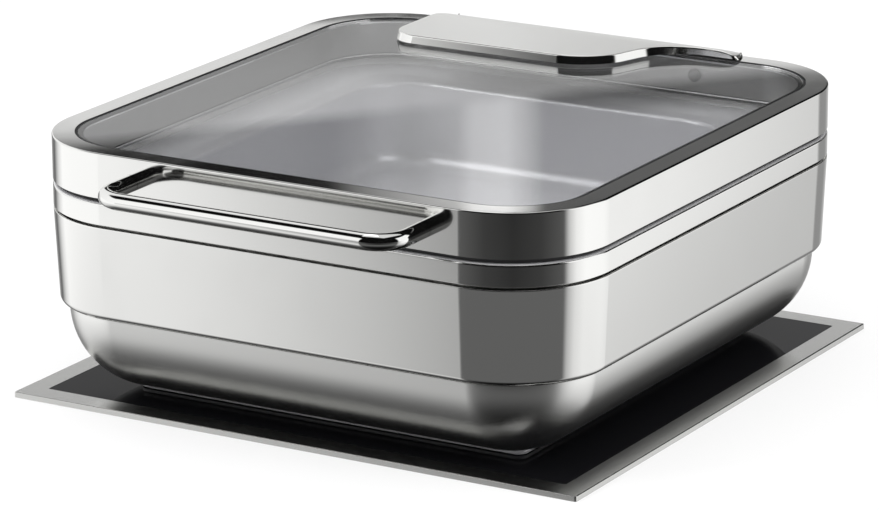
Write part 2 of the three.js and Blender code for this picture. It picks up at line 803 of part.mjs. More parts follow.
function addHandle() {
  const section = new THREE.Shape();
  section.absarc(0, 0, HANDLE.diameter / 2, 0, 2 * HALF_TURN, false);
  const loop = new THREE.ExtrudeGeometry(section, {
    steps: HANDLE.steps,
    curveSegments: HANDLE.sides / 2,
    extrudePath: handlePath(),
  });
  const holeEnd = handleRootY - HANDLE_SCREW.bite - GAP;
  const holeStart = handleRootY + OVERRUN;
  const holeRadius = HANDLE_SCREW.shankRadius + GAP;
  const holes = handleArms.map((x) => (
    holeAlongY(x, holeEnd, holeStart, handleHeight, holeRadius, HANDLE_SCREW.sides)
  ));
  addPiece(lidGroup, 'handle_loop', cut(loop, holes), FINISH.polishedSteel);

  const seatY = -bodyBack + SHEET + GAP;
  handleArms.forEach((x, index) => {
    const screw = screwOf(HANDLE_SCREW, seatY - handleRootY + HANDLE_SCREW.bite);
    const mesh = addPiece(lidGroup, `handle_screw_${sideNames[index]}`, screw, FINISH.screwSteel);
    mesh.position.set(x, seatY, handleHeight);
  });
}

// Lid side of the hinge: two straps with knuckles, bolted to the ring's back wall

function strapShape() {
  const centre = { x: hingeAxisY, y: hingeAxisZ };
  const size = { x: STRAP.knuckleRadius, y: STRAP.knuckleRadius };
  return new THREE.Shape([
    new THREE.Vector2(strapNearY, strapTop),
    new THREE.Vector2(strapNearY, lidFoot),
    ...arcPoints(centre, size, HALF_TURN, (HALF_TURN * 7) / 3, HINGE.endSteps),
    new THREE.Vector2(strapFarY, lidFoot + LID.height * STRAP.shoulderShare),
    new THREE.Vector2(strapFarY, strapTop - STRAP.chamfer),
    new THREE.Vector2(strapFarY - STRAP.chamfer, strapTop),
  ]);
}

function addStraps() {
  const boltSeatY = bodyBack - LID.innerWallInset - LID.innerWall - GAP;
  const screwSeatY = bodyBack - SHEET - GAP;
  const coverSeatY = coverBack + GAP;
  hingeCentres.forEach((centre, index) => {
    const side = sideNames[index];
    const half = STRAP.width / 2;
    const strap = alongX(strapShape(), centre - half, centre + half);
    const drill = (z, radius, sides) => holeAlongY(
      centre, strapNearY - OVERRUN, strapFarY + GAP, z, radius + GAP, sides,
    );
    const bore = holeAlongX(
      centre - half - OVERRUN, centre + half + OVERRUN,
      hingeAxisY, hingeAxisZ, HINGE.pinRadius + GAP, HINGE.sides,
    );
    const holes = [
      bore,
      drill(strapBoltHeight, STRAP_BOLT.shankRadius, STRAP_BOLT.sides),
      drill(strapScrewHeight, SCREW.shankRadius, SCREW.sides),
      drill(coverScrewHeight, SCREW.shankRadius, SCREW.sides),
    ];
    addPiece(lidGroup, `hinge_strap_${side}`, cut(strap, holes), FINISH.polishedSteel);

    const bolt = addPiece(
      lidGroup, `strap_bolt_${side}`, screwOf(STRAP_BOLT, strapFarY - boltSeatY), FINISH.screwSteel,
    );
    bolt.rotation.z = HALF_TURN;
    bolt.position.set(centre, boltSeatY, strapBoltHeight);

    const screw = addPiece(
      lidGroup, `strap_screw_${side}`, screwOf(SCREW, strapFarY - screwSeatY), FINISH.screwSteel,
    );
    screw.rotation.z = HALF_TURN;
    screw.position.set(centre, screwSeatY, strapScrewHeight);

    const coverScrew = addPiece(
      lidGroup, `cover_screw_${side}`, screwOf(SCREW, coverSeatY - strapNearY), FINISH.screwSteel,
    );
    coverScrew.position.set(centre, coverSeatY, coverScrewHeight);
  });
}

// Hinge cover: a pressed sheet with a wide tongue on the left and a narrow wing on the right

function coverPlan() {
  const { leftCorner, rightCorner, wingCorner, tongueInset, flareInset, wingReach, cornerSteps } = COVER;
  const back = coverBack + OVERRUN;
  const tongueSide = bodySide - tongueInset;
  const flareEnd = bodySide - flareInset;
  const wingFront = bodyBack - wingReach;
  const tongueCorner = { x: tongueSide - rightCorner, y: coverFront + rightCorner };
  const flare = { x: flareEnd, y: tongueCorner.y };
  const flareSize = { x: flareEnd - tongueSide, y: wingFront - tongueCorner.y };
  const round = (radius) => ({ x: radius, y: radius });
  const leftCentre = { x: coverLeft + leftCorner, y: coverFront + leftCorner };
  const wingCentre = { x: coverRight - wingCorner, y: wingFront + wingCorner };
  return new THREE.Shape([
    ...arcPoints(leftCentre, round(leftCorner), HALF_TURN, HALF_TURN * 1.5, cornerSteps),
    ...arcPoints(tongueCorner, round(rightCorner), -QUARTER_TURN, 0, cornerSteps),
    ...arcPoints(flare, flareSize, HALF_TURN, QUARTER_TURN, cornerSteps).slice(1),
    ...arcPoints(wingCentre, round(wingCorner), -QUARTER_TURN, 0, cornerSteps),
    new THREE.Vector2(coverRight, back),
    new THREE.Vector2(coverLeft, back),
  ]);
}

// The cover's side view, drawn in by an offset. Its foot and inner side run on by a further length.
function coverSide(offset, run) {
  const { curveDrop, clearance, cornerDrop, backSteps } = COVER;
  const underside = lidTop + clearance - run;
  const innerBack = bodyBack + GAP - run;
  const outerBack = coverBack - offset;
  const centre = { x: coverCurveStart, y: coverTop - curveDrop };
  const size = { x: outerBack - coverCurveStart, y: curveDrop - offset };
  return new THREE.Shape([
    new THREE.Vector2(coverFront - run, underside),
    new THREE.Vector2(innerBack - LID.edge - GAP, underside),
    new THREE.Vector2(innerBack, underside - cornerDrop),
    new THREE.Vector2(innerBack, coverSkirtFoot - run),
    new THREE.Vector2(outerBack, coverSkirtFoot - run),
    ...arcPoints(centre, size, 0, QUARTER_TURN, backSteps),
    new THREE.Vector2(coverFront - run, coverTop - offset),
  ]);
}

function coverBlank(offset, run) {
  const { edge, edgeSteps } = COVER;
  const foot = coverSkirtFoot - OVERRUN;
  const plan = new THREE.ExtrudeGeometry(coverPlan(), {
    depth: coverTop - offset - foot - 2 * edge,
    bevelEnabled: true,
    bevelThickness: edge,
    bevelSize: edge,
    bevelOffset: -edge - offset,
    bevelSegments: edgeSteps,
  }).translate(0, 0, foot + edge);
  const side = alongX(coverSide(offset, run), coverLeft - OVERRUN, coverRight + OVERRUN);
  return solidOf(plan).intersect(solidOf(side));
}

function addHingeCover() {
  let cover = coverBlank(0, 0).subtract(coverBlank(COVER.sheet, OVERRUN));
  for (const centre of hingeCentres) {
    const hole = holeAlongY(
      centre, bodyBack, coverBack + OVERRUN, coverScrewHeight, SCREW.shankRadius + GAP, SCREW.sides,
    );
    cover = cover.subtract(solidOf(hole));
  }
  addPiece(lidGroup, 'hinge_cover', geometryOf(cover), FINISH.polishedSteel);
}

addPlate();
addBaseDisc();
addWaterPan();
addOuterShell();
addRimFrame();
addFoodPan();
addHingeBacking();
addHingeUnits();
addBracketScrews();
addLidRing();
addLidFootFrame();
addGlassLedge();
addLidInnerWall();
addLidGlass();
addLidGasket();
addHandle();
addStraps();
addHingeCover();

export default chafingDish;
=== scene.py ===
# Looks of a square chafing dish: polished skirt and bowl, glass lid with a loop handle and a pressed
# hinge cover, food pan and black glass plate. Metres, in the same frame as the CAD model.

import math

import bmesh
import bpy
from mathutils import Matrix, Vector


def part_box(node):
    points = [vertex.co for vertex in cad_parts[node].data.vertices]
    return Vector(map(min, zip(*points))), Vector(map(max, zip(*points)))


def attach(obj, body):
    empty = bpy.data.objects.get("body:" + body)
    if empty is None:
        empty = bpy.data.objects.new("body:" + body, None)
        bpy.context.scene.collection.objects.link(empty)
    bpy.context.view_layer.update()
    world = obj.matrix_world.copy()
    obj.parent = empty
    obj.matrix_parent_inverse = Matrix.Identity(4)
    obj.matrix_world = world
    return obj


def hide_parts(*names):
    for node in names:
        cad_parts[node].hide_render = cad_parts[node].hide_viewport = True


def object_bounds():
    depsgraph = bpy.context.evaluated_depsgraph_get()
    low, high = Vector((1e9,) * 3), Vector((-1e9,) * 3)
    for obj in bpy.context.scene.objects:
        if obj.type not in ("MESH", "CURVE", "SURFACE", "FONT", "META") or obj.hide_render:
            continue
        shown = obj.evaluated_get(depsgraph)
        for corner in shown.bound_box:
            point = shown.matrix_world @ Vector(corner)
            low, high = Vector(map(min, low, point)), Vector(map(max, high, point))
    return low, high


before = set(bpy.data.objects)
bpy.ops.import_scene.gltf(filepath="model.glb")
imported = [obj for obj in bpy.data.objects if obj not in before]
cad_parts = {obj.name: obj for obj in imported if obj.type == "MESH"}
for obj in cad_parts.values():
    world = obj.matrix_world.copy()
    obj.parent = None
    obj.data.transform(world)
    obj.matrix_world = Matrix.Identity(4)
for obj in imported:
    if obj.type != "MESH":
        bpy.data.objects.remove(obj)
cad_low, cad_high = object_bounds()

MM = 0.001

# Within these, two places count as the same and two vertices are merged

SMALL = 0.02 * MM
WELD = 0.0004 * MM
HANDLE_WELD = 0.004 * MM

# Driving sizes that the frame's boxes don't give

BODY_CORNER = 73.5 * MM
SHEET = 1.2 * MM

PLATE_RIM = 17.3 * MM
PLATE_CORNER = 1.5 * MM
PLATE_BEVEL = 0.8 * MM
PLATE_GLASS_BEVEL = 0.4 * MM

DISC_CORNER = 8 * MM
DISC_BEVEL = 0.8 * MM

BOWL_SHEET = 0.9 * MM
BOWL_BEND = 60 * MM
BOWL_FLANGE = 6.9 * MM

SHELL_TAPER = 2.9 * MM
LIP_WIDTH = 6.2 * MM
LIP_HEIGHT = 5 * MM
SHELL_HEM = 8 * MM
SHELL_TOP_BAND = 1 * MM
SHELL_TOP_EDGE = 0.4 * MM
SEAM_GROOVE = 0.8 * MM

RIM_EDGE = 2 * MM
RIM_LANDING = 12 * MM
RIM_SLOPE = 4 * MM
DECK_DROP = 3.6 * MM
LEDGE = 9.9 * MM
LEDGE_SKIRT = 5.5 * MM
FIT = 0.3 * MM

PAN_FLANGE = 12 * MM
PAN_DRAFT = 3 * MM
PAN_WALL_CORNER = 45 * MM
PAN_BEND = 14 * MM
PAN_LIP = 2 * MM

RING_EDGE = 1.3 * MM
RING_FLANGE = 16 * MM
RING_LEDGE = 6 * MM
RING_HEM = 17.5 * MM
RING_RECESS = 4.8 * MM

SEAL_WIDTH = 1.4 * MM
GASKET_WIDTH = 5.5 * MM
GLASS_BEVEL = 0.5 * MM
INNER_WALL = 1 * MM

HANDLE_RADIUS = 6 * MM
HANDLE_BEND = 20 * MM
HANDLE_CORNER_STEPS = 14
HANDLE_SIDES = 32

COVER_SHEET = 1.2 * MM
COVER_EDGE = 1.6 * MM
COVER_LEFT_CORNER = 22 * MM
COVER_RIGHT_CORNER = 31 * MM
COVER_TONGUE_SIDE = 66 * MM
COVER_TONGUE_SLANT = 24 * MM
COVER_WING_FRONT = 212 * MM
COVER_FLARE = 32 * MM
COVER_WING_END = 121.5 * MM
COVER_WING_CORNER = 4 * MM
COVER_WING_CURVE_START = 100 * MM
COVER_WING_END_SHARE = 0.3
COVER_BACK_LEFT_CORNER = 30 * MM
COVER_BACK_RIGHT_CORNER = 20 * MM
COVER_LEAN = 1 * MM
COVER_CURVE_START = 199 * MM
COVER_CURVE_DROP = 13.8 * MM
COVER_CLEARANCE = 0.3 * MM
COVER_GLASS_GAP = 1.2 * MM
COVER_CURVE_STEPS = 12

CORNER_STEPS = 24
SMALL_CORNER_STEPS = 4
EDGE_STEPS = 6
BEVEL_STEPS = 3
GLASS_BEVEL_STEPS = 2
LIP_STEPS = 12
PAN_BEND_STEPS = 12
BEND_STEPS = 20
FLAT_FACE_WEIGHT = 90

# Angles in degrees. A face looks along an axis from the first share of its normal,
# and is upright under the second.

SMOOTH_ANGLE = 38
STEEP_FOLD = 60
SAME_PLANE_ANGLE = 1
FACING_SHARE = 0.9
UPRIGHT_SHARE = 0.5

# Camera, placed by the photograph's perspective

IMAGE_WIDTH = 879
CAMERA_AZIMUTH = 30.445
CAMERA_ELEVATION = 16.436
CAMERA_ROLL = -0.317
CAMERA_DISTANCE = 3389.3 * MM
CAMERA_RIGHT = -4.9 * MM
CAMERA_UP = 76.6 * MM
CAMERA_SHIFT = Vector((-1.8 * MM, 0.3 * MM, 0))
FOCAL_PIXELS = 4716.2
SENSOR_WIDTH = 36
CLIP_START = 50 * MM
CLIP_END = 50


# Modelling steps

def deselect_everything():
    if bpy.context.object and bpy.context.object.mode != "OBJECT":
        bpy.ops.object.mode_set(mode="OBJECT")
    bpy.ops.object.select_all(action="DESELECT")


def start_block(name, low, high):
    """A block from corner to corner, left in edit mode."""
    deselect_everything()
    bpy.ops.mesh.primitive_cube_add(size=1, location=(low + high) / 2, scale=high - low)
    piece = bpy.context.object
    piece.name = name
    bpy.ops.object.transform_apply(location=True, rotation=True, scale=True)
    bpy.ops.object.mode_set(mode="EDIT")
    return piece


def pick(piece, kind, test):
    """Selects only the vertices, edges or faces that pass the test."""
    bpy.ops.mesh.select_mode(type=kind)
    bpy.ops.mesh.select_all(action="DESELECT")
    mesh = bmesh.from_edit_mesh(piece.data)
    items = {"VERT": mesh.verts, "EDGE": mesh.edges, "FACE": mesh.faces}[kind]
    for item in items:
        if test(item):
            item.select_set(True)
    mesh.select_flush_mode()
    bmesh.update_edit_mesh(piece.data)


def is_upright(edge):
    return abs(edge.verts[0].co.z - edge.verts[1].co.z) > SMALL


def is_steep(edge):
    return edge.calc_face_angle() > math.radians(STEEP_FOLD)


def lies_at(height):
    """A test for edges or faces that lie wholly at one height."""
    return lambda item: all(abs(vertex.co.z - height) < SMALL for vertex in item.verts)


def round_uprights(piece, radius, steps=CORNER_STEPS):
    pick(piece, "EDGE", is_upright)
    bpy.ops.mesh.bevel(offset=radius, segments=steps, affect="EDGES", clamp_overlap=False)


def round_rim(piece, height, radius, steps=EDGE_STEPS):
    pick(piece, "EDGE", lies_at(height))
    bpy.ops.mesh.bevel(offset=radius, segments=steps, affect="EDGES", clamp_overlap=False)


def pick_cap(piece, height):
    pick(piece, "FACE", lies_at(height))


def press(steps):
    """Draws the selected cap in and pushes it along its normal, step by step."""
    for inward, along in steps:
        if inward > 0:
            bpy.ops.mesh.inset(thickness=inward, depth=along, use_even_offset=True)
        else:
            bpy.ops.mesh.extrude_region_shrink_fatten(TRANSFORM_OT_shrink_fatten={"value": along})


def quarter_bend(width, height, steps):
    """Inset and depth steps of a quarter ellipse that turns from upright to level."""
    places = []
    for i in range(steps + 1):
        angle = math.pi / 2 * i / steps
        places.append((width * (1 - math.cos(angle)), height * math.sin(angle)))
    return [(b[0] - a[0], b[1] - a[1]) for a, b in zip(places, places[1:])]


def remove_selected_faces():
    bpy.ops.mesh.delete(type="FACE")


def finish_mesh(piece, sheet=0, even=True):
    """Leaves edit mode, gives an open skin its thickness inwards and smooths the shading."""
    bpy.ops.mesh.select_all(action="SELECT")
    bpy.ops.mesh.remove_doubles(threshold=WELD)
    bpy.ops.object.mode_set(mode="OBJECT")
    if sheet:
        solidify = piece.modifiers.new("sheet", "SOLIDIFY")
        solidify.thickness = sheet
        solidify.offset = -1
        solidify.use_even_offset = even
        bpy.ops.object.modifier_apply(modifier=solidify.name)
    bpy.ops.object.shade_smooth_by_angle(angle=math.radians(SMOOTH_ANGLE))
    flatten = piece.modifiers.new("flat_faces", "WEIGHTED_NORMAL")
    flatten.keep_sharp = True
    flatten.weight = FLAT_FACE_WEIGHT
    bpy.ops.object.modifier_apply(modifier=flatten.name)
    return piece


def settle(piece, body, nodes, material):
    """Puts a finished piece on its body, in place of its CAD nodes, with its material."""
    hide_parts(*nodes)
    piece.data.materials.clear()
    piece.data.materials.append(material)
    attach(piece, body)


# Shader groups

SMUDGE_NOISE = {"Scale": 14, "Detail": 4, "Roughness": 0.55}
SMUDGE_START = 0.42
SMUDGE_FULL = 0.72
WIPE_NOISE = {"Scale": 420, "Detail": 2, "Roughness": 0.5}
GRAIN_NOISE = {"Scale": 1, "Detail": 3, "Roughness": 0.6}

# Places of the colour sockets on a Mix node

MIX_FIRST = 6
MIX_SECOND = 7
MIX_RESULT = 2


def new_group(name, inputs, outputs):
    group = bpy.data.node_groups.new(name, "ShaderNodeTree")
    for label, kind, value in inputs:
        socket = group.interface.new_socket(name=label, in_out="INPUT", socket_type=kind)
        socket.default_value = value
    for label, kind in outputs:
        group.interface.new_socket(name=label, in_out="OUTPUT", socket_type=kind)
    source = group.nodes.new("NodeGroupInput")
    sink = group.nodes.new("NodeGroupOutput")
    return group, source, sink


def feed(tree, socket, value):
    """Links a socket to another one, or sets it to a plain value."""
    if isinstance(value, bpy.types.NodeSocket):
        tree.links.new(value, socket)
    else:
        socket.default_value = value


def add_node(tree, kind, **inputs):
    """A node with its inputs set to values or linked to sockets."""
    node = tree.nodes.new(kind)
    for key, value in inputs.items():
        feed(tree, node.inputs[key.replace("_", " ")], value)
    return node


def calculate(tree, operation, first, second=0, third=0):
    node = tree.nodes.new("ShaderNodeMath")
    node.operation = operation
    for socket, value in zip(node.inputs, (first, second, third)):
        feed(tree, socket, value)
    return node.outputs["Value"]


def remap(tree, value, low, high, to_low=0, to_high=1):
    node = add_node(
        tree, "ShaderNodeMapRange", Value=value, From_Min=low, From_Max=high, To_Min=to_low, To_Max=to_high,
    )
    return node.outputs["Result"]


def blend(tree, factor, first, second, mode="MIX"):
    node = tree.nodes.new("ShaderNodeMix")
    node.data_type = "RGBA"
    node.blend_type = mode
    feed(tree, node.inputs["Factor"], factor)
    feed(tree, node.inputs[MIX_FIRST], first)
    feed(tree, node.inputs[MIX_SECOND], second)
    return node.outputs[MIX_RESULT]


def noise(tree, texture, place=None):
    """Noise in the piece's own coordinates, or at the place given."""
    if place is None:
        place = add_node(tree, "ShaderNodeTexCoord").outputs["Object"]
    return add_node(tree, "ShaderNodeTexNoise", Vector=place, **texture).outputs["Fac"]


def polish_group():
    """Handling marks on polished metal: soft smudges and fine wipe lines."""
    group, source, sink = new_group(
        "polish_marks",
        [("Roughness", "NodeSocketFloat", 0), ("Smudge", "NodeSocketFloat", 0)],
        [("Roughness", "NodeSocketFloat"), ("Height", "NodeSocketFloat")],
    )
    spread = remap(group, noise(group, SMUDGE_NOISE), SMUDGE_START, SMUDGE_FULL)
    smudged = calculate(group, "MULTIPLY_ADD", spread, source.outputs["Smudge"], source.outputs["Roughness"])
    group.links.new(smudged, sink.inputs["Roughness"])
    group.links.new(noise(group, WIPE_NOISE), sink.inputs["Height"])
    return group


def brush_group():
    """Fine straight grain of satin metal, as height and roughness."""
    group, source, sink = new_group(
        "satin_grain",
        [
            ("Roughness", "NodeSocketFloat", 0),
            ("Variation", "NodeSocketFloat", 0),
            ("Grain", "NodeSocketVector", (1, 1, 1)),
        ],
        [("Roughness", "NodeSocketFloat"), ("Height", "NodeSocketFloat")],
    )
    place = add_node(group, "ShaderNodeTexCoord").outputs["Object"]
    stretch = add_node(group, "ShaderNodeMapping", Vector=place, Scale=source.outputs["Grain"])
    grain = noise(group, GRAIN_NOISE, stretch.outputs["Vector"])
    varied = calculate(group, "MULTIPLY_ADD", grain, source.outputs["Variation"], source.outputs["Roughness"])
    group.links.new(varied, sink.inputs["Roughness"])
    group.links.new(grain, sink.inputs["Height"])
    return group


POLISH_MARKS = polish_group()
SATIN_GRAIN = brush_group()


# Materials

POLISH_BUMP = 0.02
POLISH_BUMP_DEPTH = 0.02 * MM
GRAIN_BUMP = 0.15
GRAIN_BUMP_DEPTH = 0.05 * MM
SILICONE_BUMP = 0.2

# Half-polished steel is polished up to the first upward share of its normal and satin from the second

LEVEL_START = 0.55
LEVEL_FULL = 0.95
HALF_POLISH_SMUDGE = 0.03

# Films on glass: the noise where the film starts and is full, and the roughness at each

PLATE_HAZE = {"Scale": 9, "Detail": 5, "Roughness": 0.6}
PLATE_FILM = (0.35, 0.8, 0.03, 0.09)
LID_HAZE = {"Scale": 11, "Detail": 4, "Roughness": 0.6}
LID_FILM = (0.4, 0.8, 0, 0.03)

GLASS_IOR = 1.5
PLATE_SPECULAR = 0.05
LID_SHADOW_SHARE = 0.02

SILICONE_NOISE = {"Scale": 900, "Detail": 3, "Roughness": 0.6}
SILICONE_ROUGHNESS = 0.6
SILICONE_DARK = (0.009, 0.009, 0.01, 1)
SILICONE_PALE = (0.02, 0.02, 0.022, 1)

STEEL = (0.805, 0.805, 0.79, 1)
HINGE_STEEL = (0.7, 0.71, 0.72, 1)
DECK_STEEL = (0.7, 0.7, 0.72, 1)
PLATE_STEEL = (0.66, 0.66, 0.645, 1)
PAN_STEEL = (0.64, 0.64, 0.66, 1)
# The lid's inner wall is the same steel as the ring, painted much darker as painted shade inside the lid
WALL_STEEL_PAINTED_SHADE = (0.3, 0.3, 0.29, 1)
PLAIN_STEEL = (0.55, 0.56, 0.58, 1)
DARK_STEEL = (0.09, 0.09, 0.09, 1)
BLACK_GLASS = (0.006, 0.006, 0.007, 1)
CLEAR_GLASS = (0.98, 0.985, 0.99, 1)

# Grain of satin steel, as the noise's scale along each axis

PLATE_GRAIN = (18, 1400, 1400)
PAN_GRAIN = (1200, 26, 1200)
WALL_GRAIN = (24, 24, 1500)
SCREW_GRAIN = (900, 900, 900)


def new_material(name):
    material = bpy.data.materials.new(name)
    material.use_nodes = True
    tree = material.node_tree
    return material, tree, tree.nodes["Principled BSDF"]


def place_group(tree, group, **values):
    node = tree.nodes.new("ShaderNodeGroup")
    node.node_tree = group
    for key, value in values.items():
        node.inputs[key].default_value = value
    return node.outputs


def bump(tree, shader, height, strength, distance):
    node = add_node(tree, "ShaderNodeBump", Height=height, Strength=strength, Distance=distance)
    tree.links.new(node.outputs["Normal"], shader.inputs["Normal"])


def polished_steel(name, colour, roughness, smudge):
    material, tree, shader = new_material(name)
    marks = place_group(tree, POLISH_MARKS, Roughness=roughness, Smudge=smudge)
    shader.inputs["Base Color"].default_value = colour
    shader.inputs["Metallic"].default_value = 1
    tree.links.new(marks["Roughness"], shader.inputs["Roughness"])
    bump(tree, shader, marks["Height"], POLISH_BUMP, POLISH_BUMP_DEPTH)
    return material


def half_polished_steel(name, colour, satin_colour, polish, satin, satin_metallic):
    """Steel whose level faces are satin and whose upright faces are polished."""
    material, tree, shader = new_material(name)
    marks = place_group(tree, POLISH_MARKS, Roughness=polish, Smudge=HALF_POLISH_SMUDGE)
    normal = add_node(tree, "ShaderNodeTexCoord").outputs["Normal"]
    upward = add_node(tree, "ShaderNodeSeparateXYZ", Vector=normal).outputs["Z"]
    level = remap(tree, upward, LEVEL_START, LEVEL_FULL)
    roughness = calculate(tree, "MULTIPLY_ADD", level, satin - polish, marks["Roughness"])
    metallic = calculate(tree, "MULTIPLY_ADD", level, satin_metallic - 1, 1)
    tree.links.new(blend(tree, level, colour, satin_colour), shader.inputs["Base Color"])
    tree.links.new(metallic, shader.inputs["Metallic"])
    tree.links.new(roughness, shader.inputs["Roughness"])
    bump(tree, shader, marks["Height"], POLISH_BUMP, POLISH_BUMP_DEPTH)
    return material


def satin_steel(name, colour, roughness, variation, grain, metallic=1):
    material, tree, shader = new_material(name)
    brushed = place_group(tree, SATIN_GRAIN, Roughness=roughness, Variation=variation, Grain=grain)
    shader.inputs["Base Color"].default_value = colour
    shader.inputs["Metallic"].default_value = metallic
    tree.links.new(brushed["Roughness"], shader.inputs["Roughness"])
    bump(tree, shader, brushed["Height"], GRAIN_BUMP, GRAIN_BUMP_DEPTH)
    return material


def black_glass():
    material, tree, shader = new_material("plate_black_glass")
    film = remap(tree, noise(tree, PLATE_HAZE), *PLATE_FILM)
    shader.inputs["Base Color"].default_value = BLACK_GLASS
    shader.inputs["IOR"].default_value = GLASS_IOR
    shader.inputs["Specular IOR Level"].default_value = PLATE_SPECULAR
    tree.links.new(film, shader.inputs["Roughness"])
    return material


def clear_glass():
    """Clear sheet glass that lets soft light through to what is under it."""
    material, tree, shader = new_material("lid_clear_glass")
    film = remap(tree, noise(tree, LID_HAZE), *LID_FILM)
    shader.inputs["Base Color"].default_value = CLEAR_GLASS
    shader.inputs["IOR"].default_value = GLASS_IOR
    shader.inputs["Transmission Weight"].default_value = 1
    tree.links.new(film, shader.inputs["Roughness"])
    path = add_node(tree, "ShaderNodeLightPath")
    soft = calculate(tree, "MAXIMUM", path.outputs["Is Shadow Ray"], path.outputs["Is Diffuse Ray"])
    tree.links.new(remap(tree, soft, 0, 1, 1, LID_SHADOW_SHARE), shader.inputs["Alpha"])
    return material


def silicone():
    material, tree, shader = new_material("black_silicone")
    grain = noise(tree, SILICONE_NOISE)
    tree.links.new(blend(tree, grain, SILICONE_DARK, SILICONE_PALE), shader.inputs["Base Color"])
    shader.inputs["Roughness"].default_value = SILICONE_ROUGHNESS
    bump(tree, shader, grain, SILICONE_BUMP, GRAIN_BUMP_DEPTH)
    return material


SKIRT_POLISH = polished_steel("skirt_polished_steel", STEEL, roughness=0.07, smudge=0.05)
BOWL_POLISH = polished_steel("bowl_polished_steel", STEEL, roughness=0.3, smudge=0)
RING_POLISH = polished_steel("ring_polished_steel", STEEL, roughness=0.06, smudge=0.04)
HANDLE_POLISH = polished_steel("handle_polished_steel", STEEL, roughness=0.05, smudge=0.04)
HINGE_POLISH = polished_steel("hinge_polished_steel", HINGE_STEEL, roughness=0.14, smudge=0.06)
DECK_POLISH = half_polished_steel(
    "rim_half_polished_steel", STEEL, DECK_STEEL, polish=0.07, satin=0.4, satin_metallic=0.4,
)
COVER_POLISH = half_polished_steel(
    "cover_half_polished_steel", STEEL, STEEL, polish=0.07, satin=0.36, satin_metallic=0.6,
)
PLATE_SATIN = satin_steel(
    "plate_satin_steel", PLATE_STEEL, roughness=0.18, variation=0.08, grain=PLATE_GRAIN,
)
PAN_SATIN = satin_steel(
    "pan_satin_steel", PAN_STEEL, roughness=0.36, variation=0.08, grain=PAN_GRAIN, metallic=0.5,
)
# Painted shade: the inner wall's steel is darkened to stand for the shade inside the lid
WALL_SATIN_PAINTED_SHADE = satin_steel(
    "wall_satin_steel_painted_shade", WALL_STEEL_PAINTED_SHADE, roughness=0.26, variation=0.08, grain=WALL_GRAIN, metallic=0.9,
)
SCREW_STEEL = satin_steel(
    "screw_plain_steel", PLAIN_STEEL, roughness=0.24, variation=0.1, grain=SCREW_GRAIN,
)
BOLT_DARK = satin_steel(
    "bolt_dark_steel", DARK_STEEL, roughness=0.3, variation=0.1, grain=SCREW_GRAIN,
)
PLATE_BLACK = black_glass()
LID_GLASS = clear_glass()
SILICONE = silicone()


# Plate

def make_plate():
    low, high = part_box("plate_tray")
    glass_low, glass_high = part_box("plate_glass")
    tray = start_block("plate_tray_pressed", low, high)
    pick_cap(tray, high.z)
    press([(PLATE_RIM, 0), (0, -(high.z - glass_low.z + FIT))])
    round_uprights(tray, PLATE_CORNER, SMALL_CORNER_STEPS)
    outer = high - Vector((PLATE_RIM / 2, PLATE_RIM / 2, 0))
    pick(tray, "EDGE", lambda edge: lies_at(high.z)(edge)
         and all(abs(v.co.x) > outer.x or abs(v.co.y) > outer.y for v in edge.verts)
         and is_steep(edge))
    bpy.ops.mesh.bevel(
        offset=PLATE_BEVEL, segments=BEVEL_STEPS, affect="EDGES", clamp_overlap=False,
    )
    finish_mesh(tray)
    settle(tray, "base_plate", ["plate_tray"], PLATE_SATIN)

    glass = start_block("plate_glass_panel", glass_low, glass_high)
    round_uprights(glass, PLATE_CORNER, SMALL_CORNER_STEPS)
    round_rim(glass, glass_high.z, PLATE_GLASS_BEVEL, GLASS_BEVEL_STEPS)
    finish_mesh(glass)
    settle(glass, "base_plate", ["plate_glass"], PLATE_BLACK)


# Bowl and base disc

def make_base_disc():
    low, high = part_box("base_disc")
    disc = start_block("base_disc_turned", low, high)
    round_uprights(disc, DISC_CORNER)
    round_rim(disc, high.z, DISC_BEVEL, BEVEL_STEPS)
    round_rim(disc, low.z, DISC_BEVEL, BEVEL_STEPS)
    finish_mesh(disc)
    settle(disc, "dish", ["base_disc"], PAN_SATIN)


def make_bowl():
    low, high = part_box("water_pan")
    flange_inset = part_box("outer_shell")[1].x - high.x
    bowl = start_block("water_bowl", Vector((low.x, low.y, high.z - BOWL_SHEET)), high)
    round_uprights(bowl, BODY_CORNER - flange_inset)
    pick_cap(bowl, high.z)
    wall_depth = high.z - low.z - BOWL_BEND
    inner_bend = BOWL_BEND - BOWL_SHEET
    press([(BOWL_FLANGE + BOWL_SHEET, 0), (0, -wall_depth)])
    press([(inward, -down) for inward, down in quarter_bend(inner_bend, inner_bend, BEND_STEPS)])
    pick(bowl, "FACE", lambda face: lies_at(high.z - BOWL_SHEET)(face) or (
        abs(face.normal.z) < UPRIGHT_SHARE and face.calc_center_median().z > high.z - BOWL_SHEET))
    remove_selected_faces()
    finish_mesh(bowl, BOWL_SHEET)
    settle(bowl, "dish", ["water_pan"], BOWL_POLISH)


# Skirt and rim frame

def make_skirt():
    low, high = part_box("outer_shell")
    high.z -= SEAM_GROOVE
    skirt = start_block("outer_skirt", Vector((low.x, low.y, high.z - SHELL_TOP_BAND)), high)
    round_uprights(skirt, BODY_CORNER)
    pick_cap(skirt, high.z - SHELL_TOP_BAND)
    press([(SHELL_TAPER, high.z - SHELL_TOP_BAND - low.z - LIP_HEIGHT)])
    press(quarter_bend(LIP_WIDTH, LIP_HEIGHT, LIP_STEPS))
    remove_selected_faces()
    round_rim(skirt, high.z, SHELL_TOP_EDGE, BEVEL_STEPS)
    pick_cap(skirt, high.z)
    press([(SHELL_HEM - SHELL_TOP_EDGE, 0)])
    remove_selected_faces()
    finish_mesh(skirt, SHEET)
    settle(skirt, "dish", ["outer_shell"], SKIRT_POLISH)


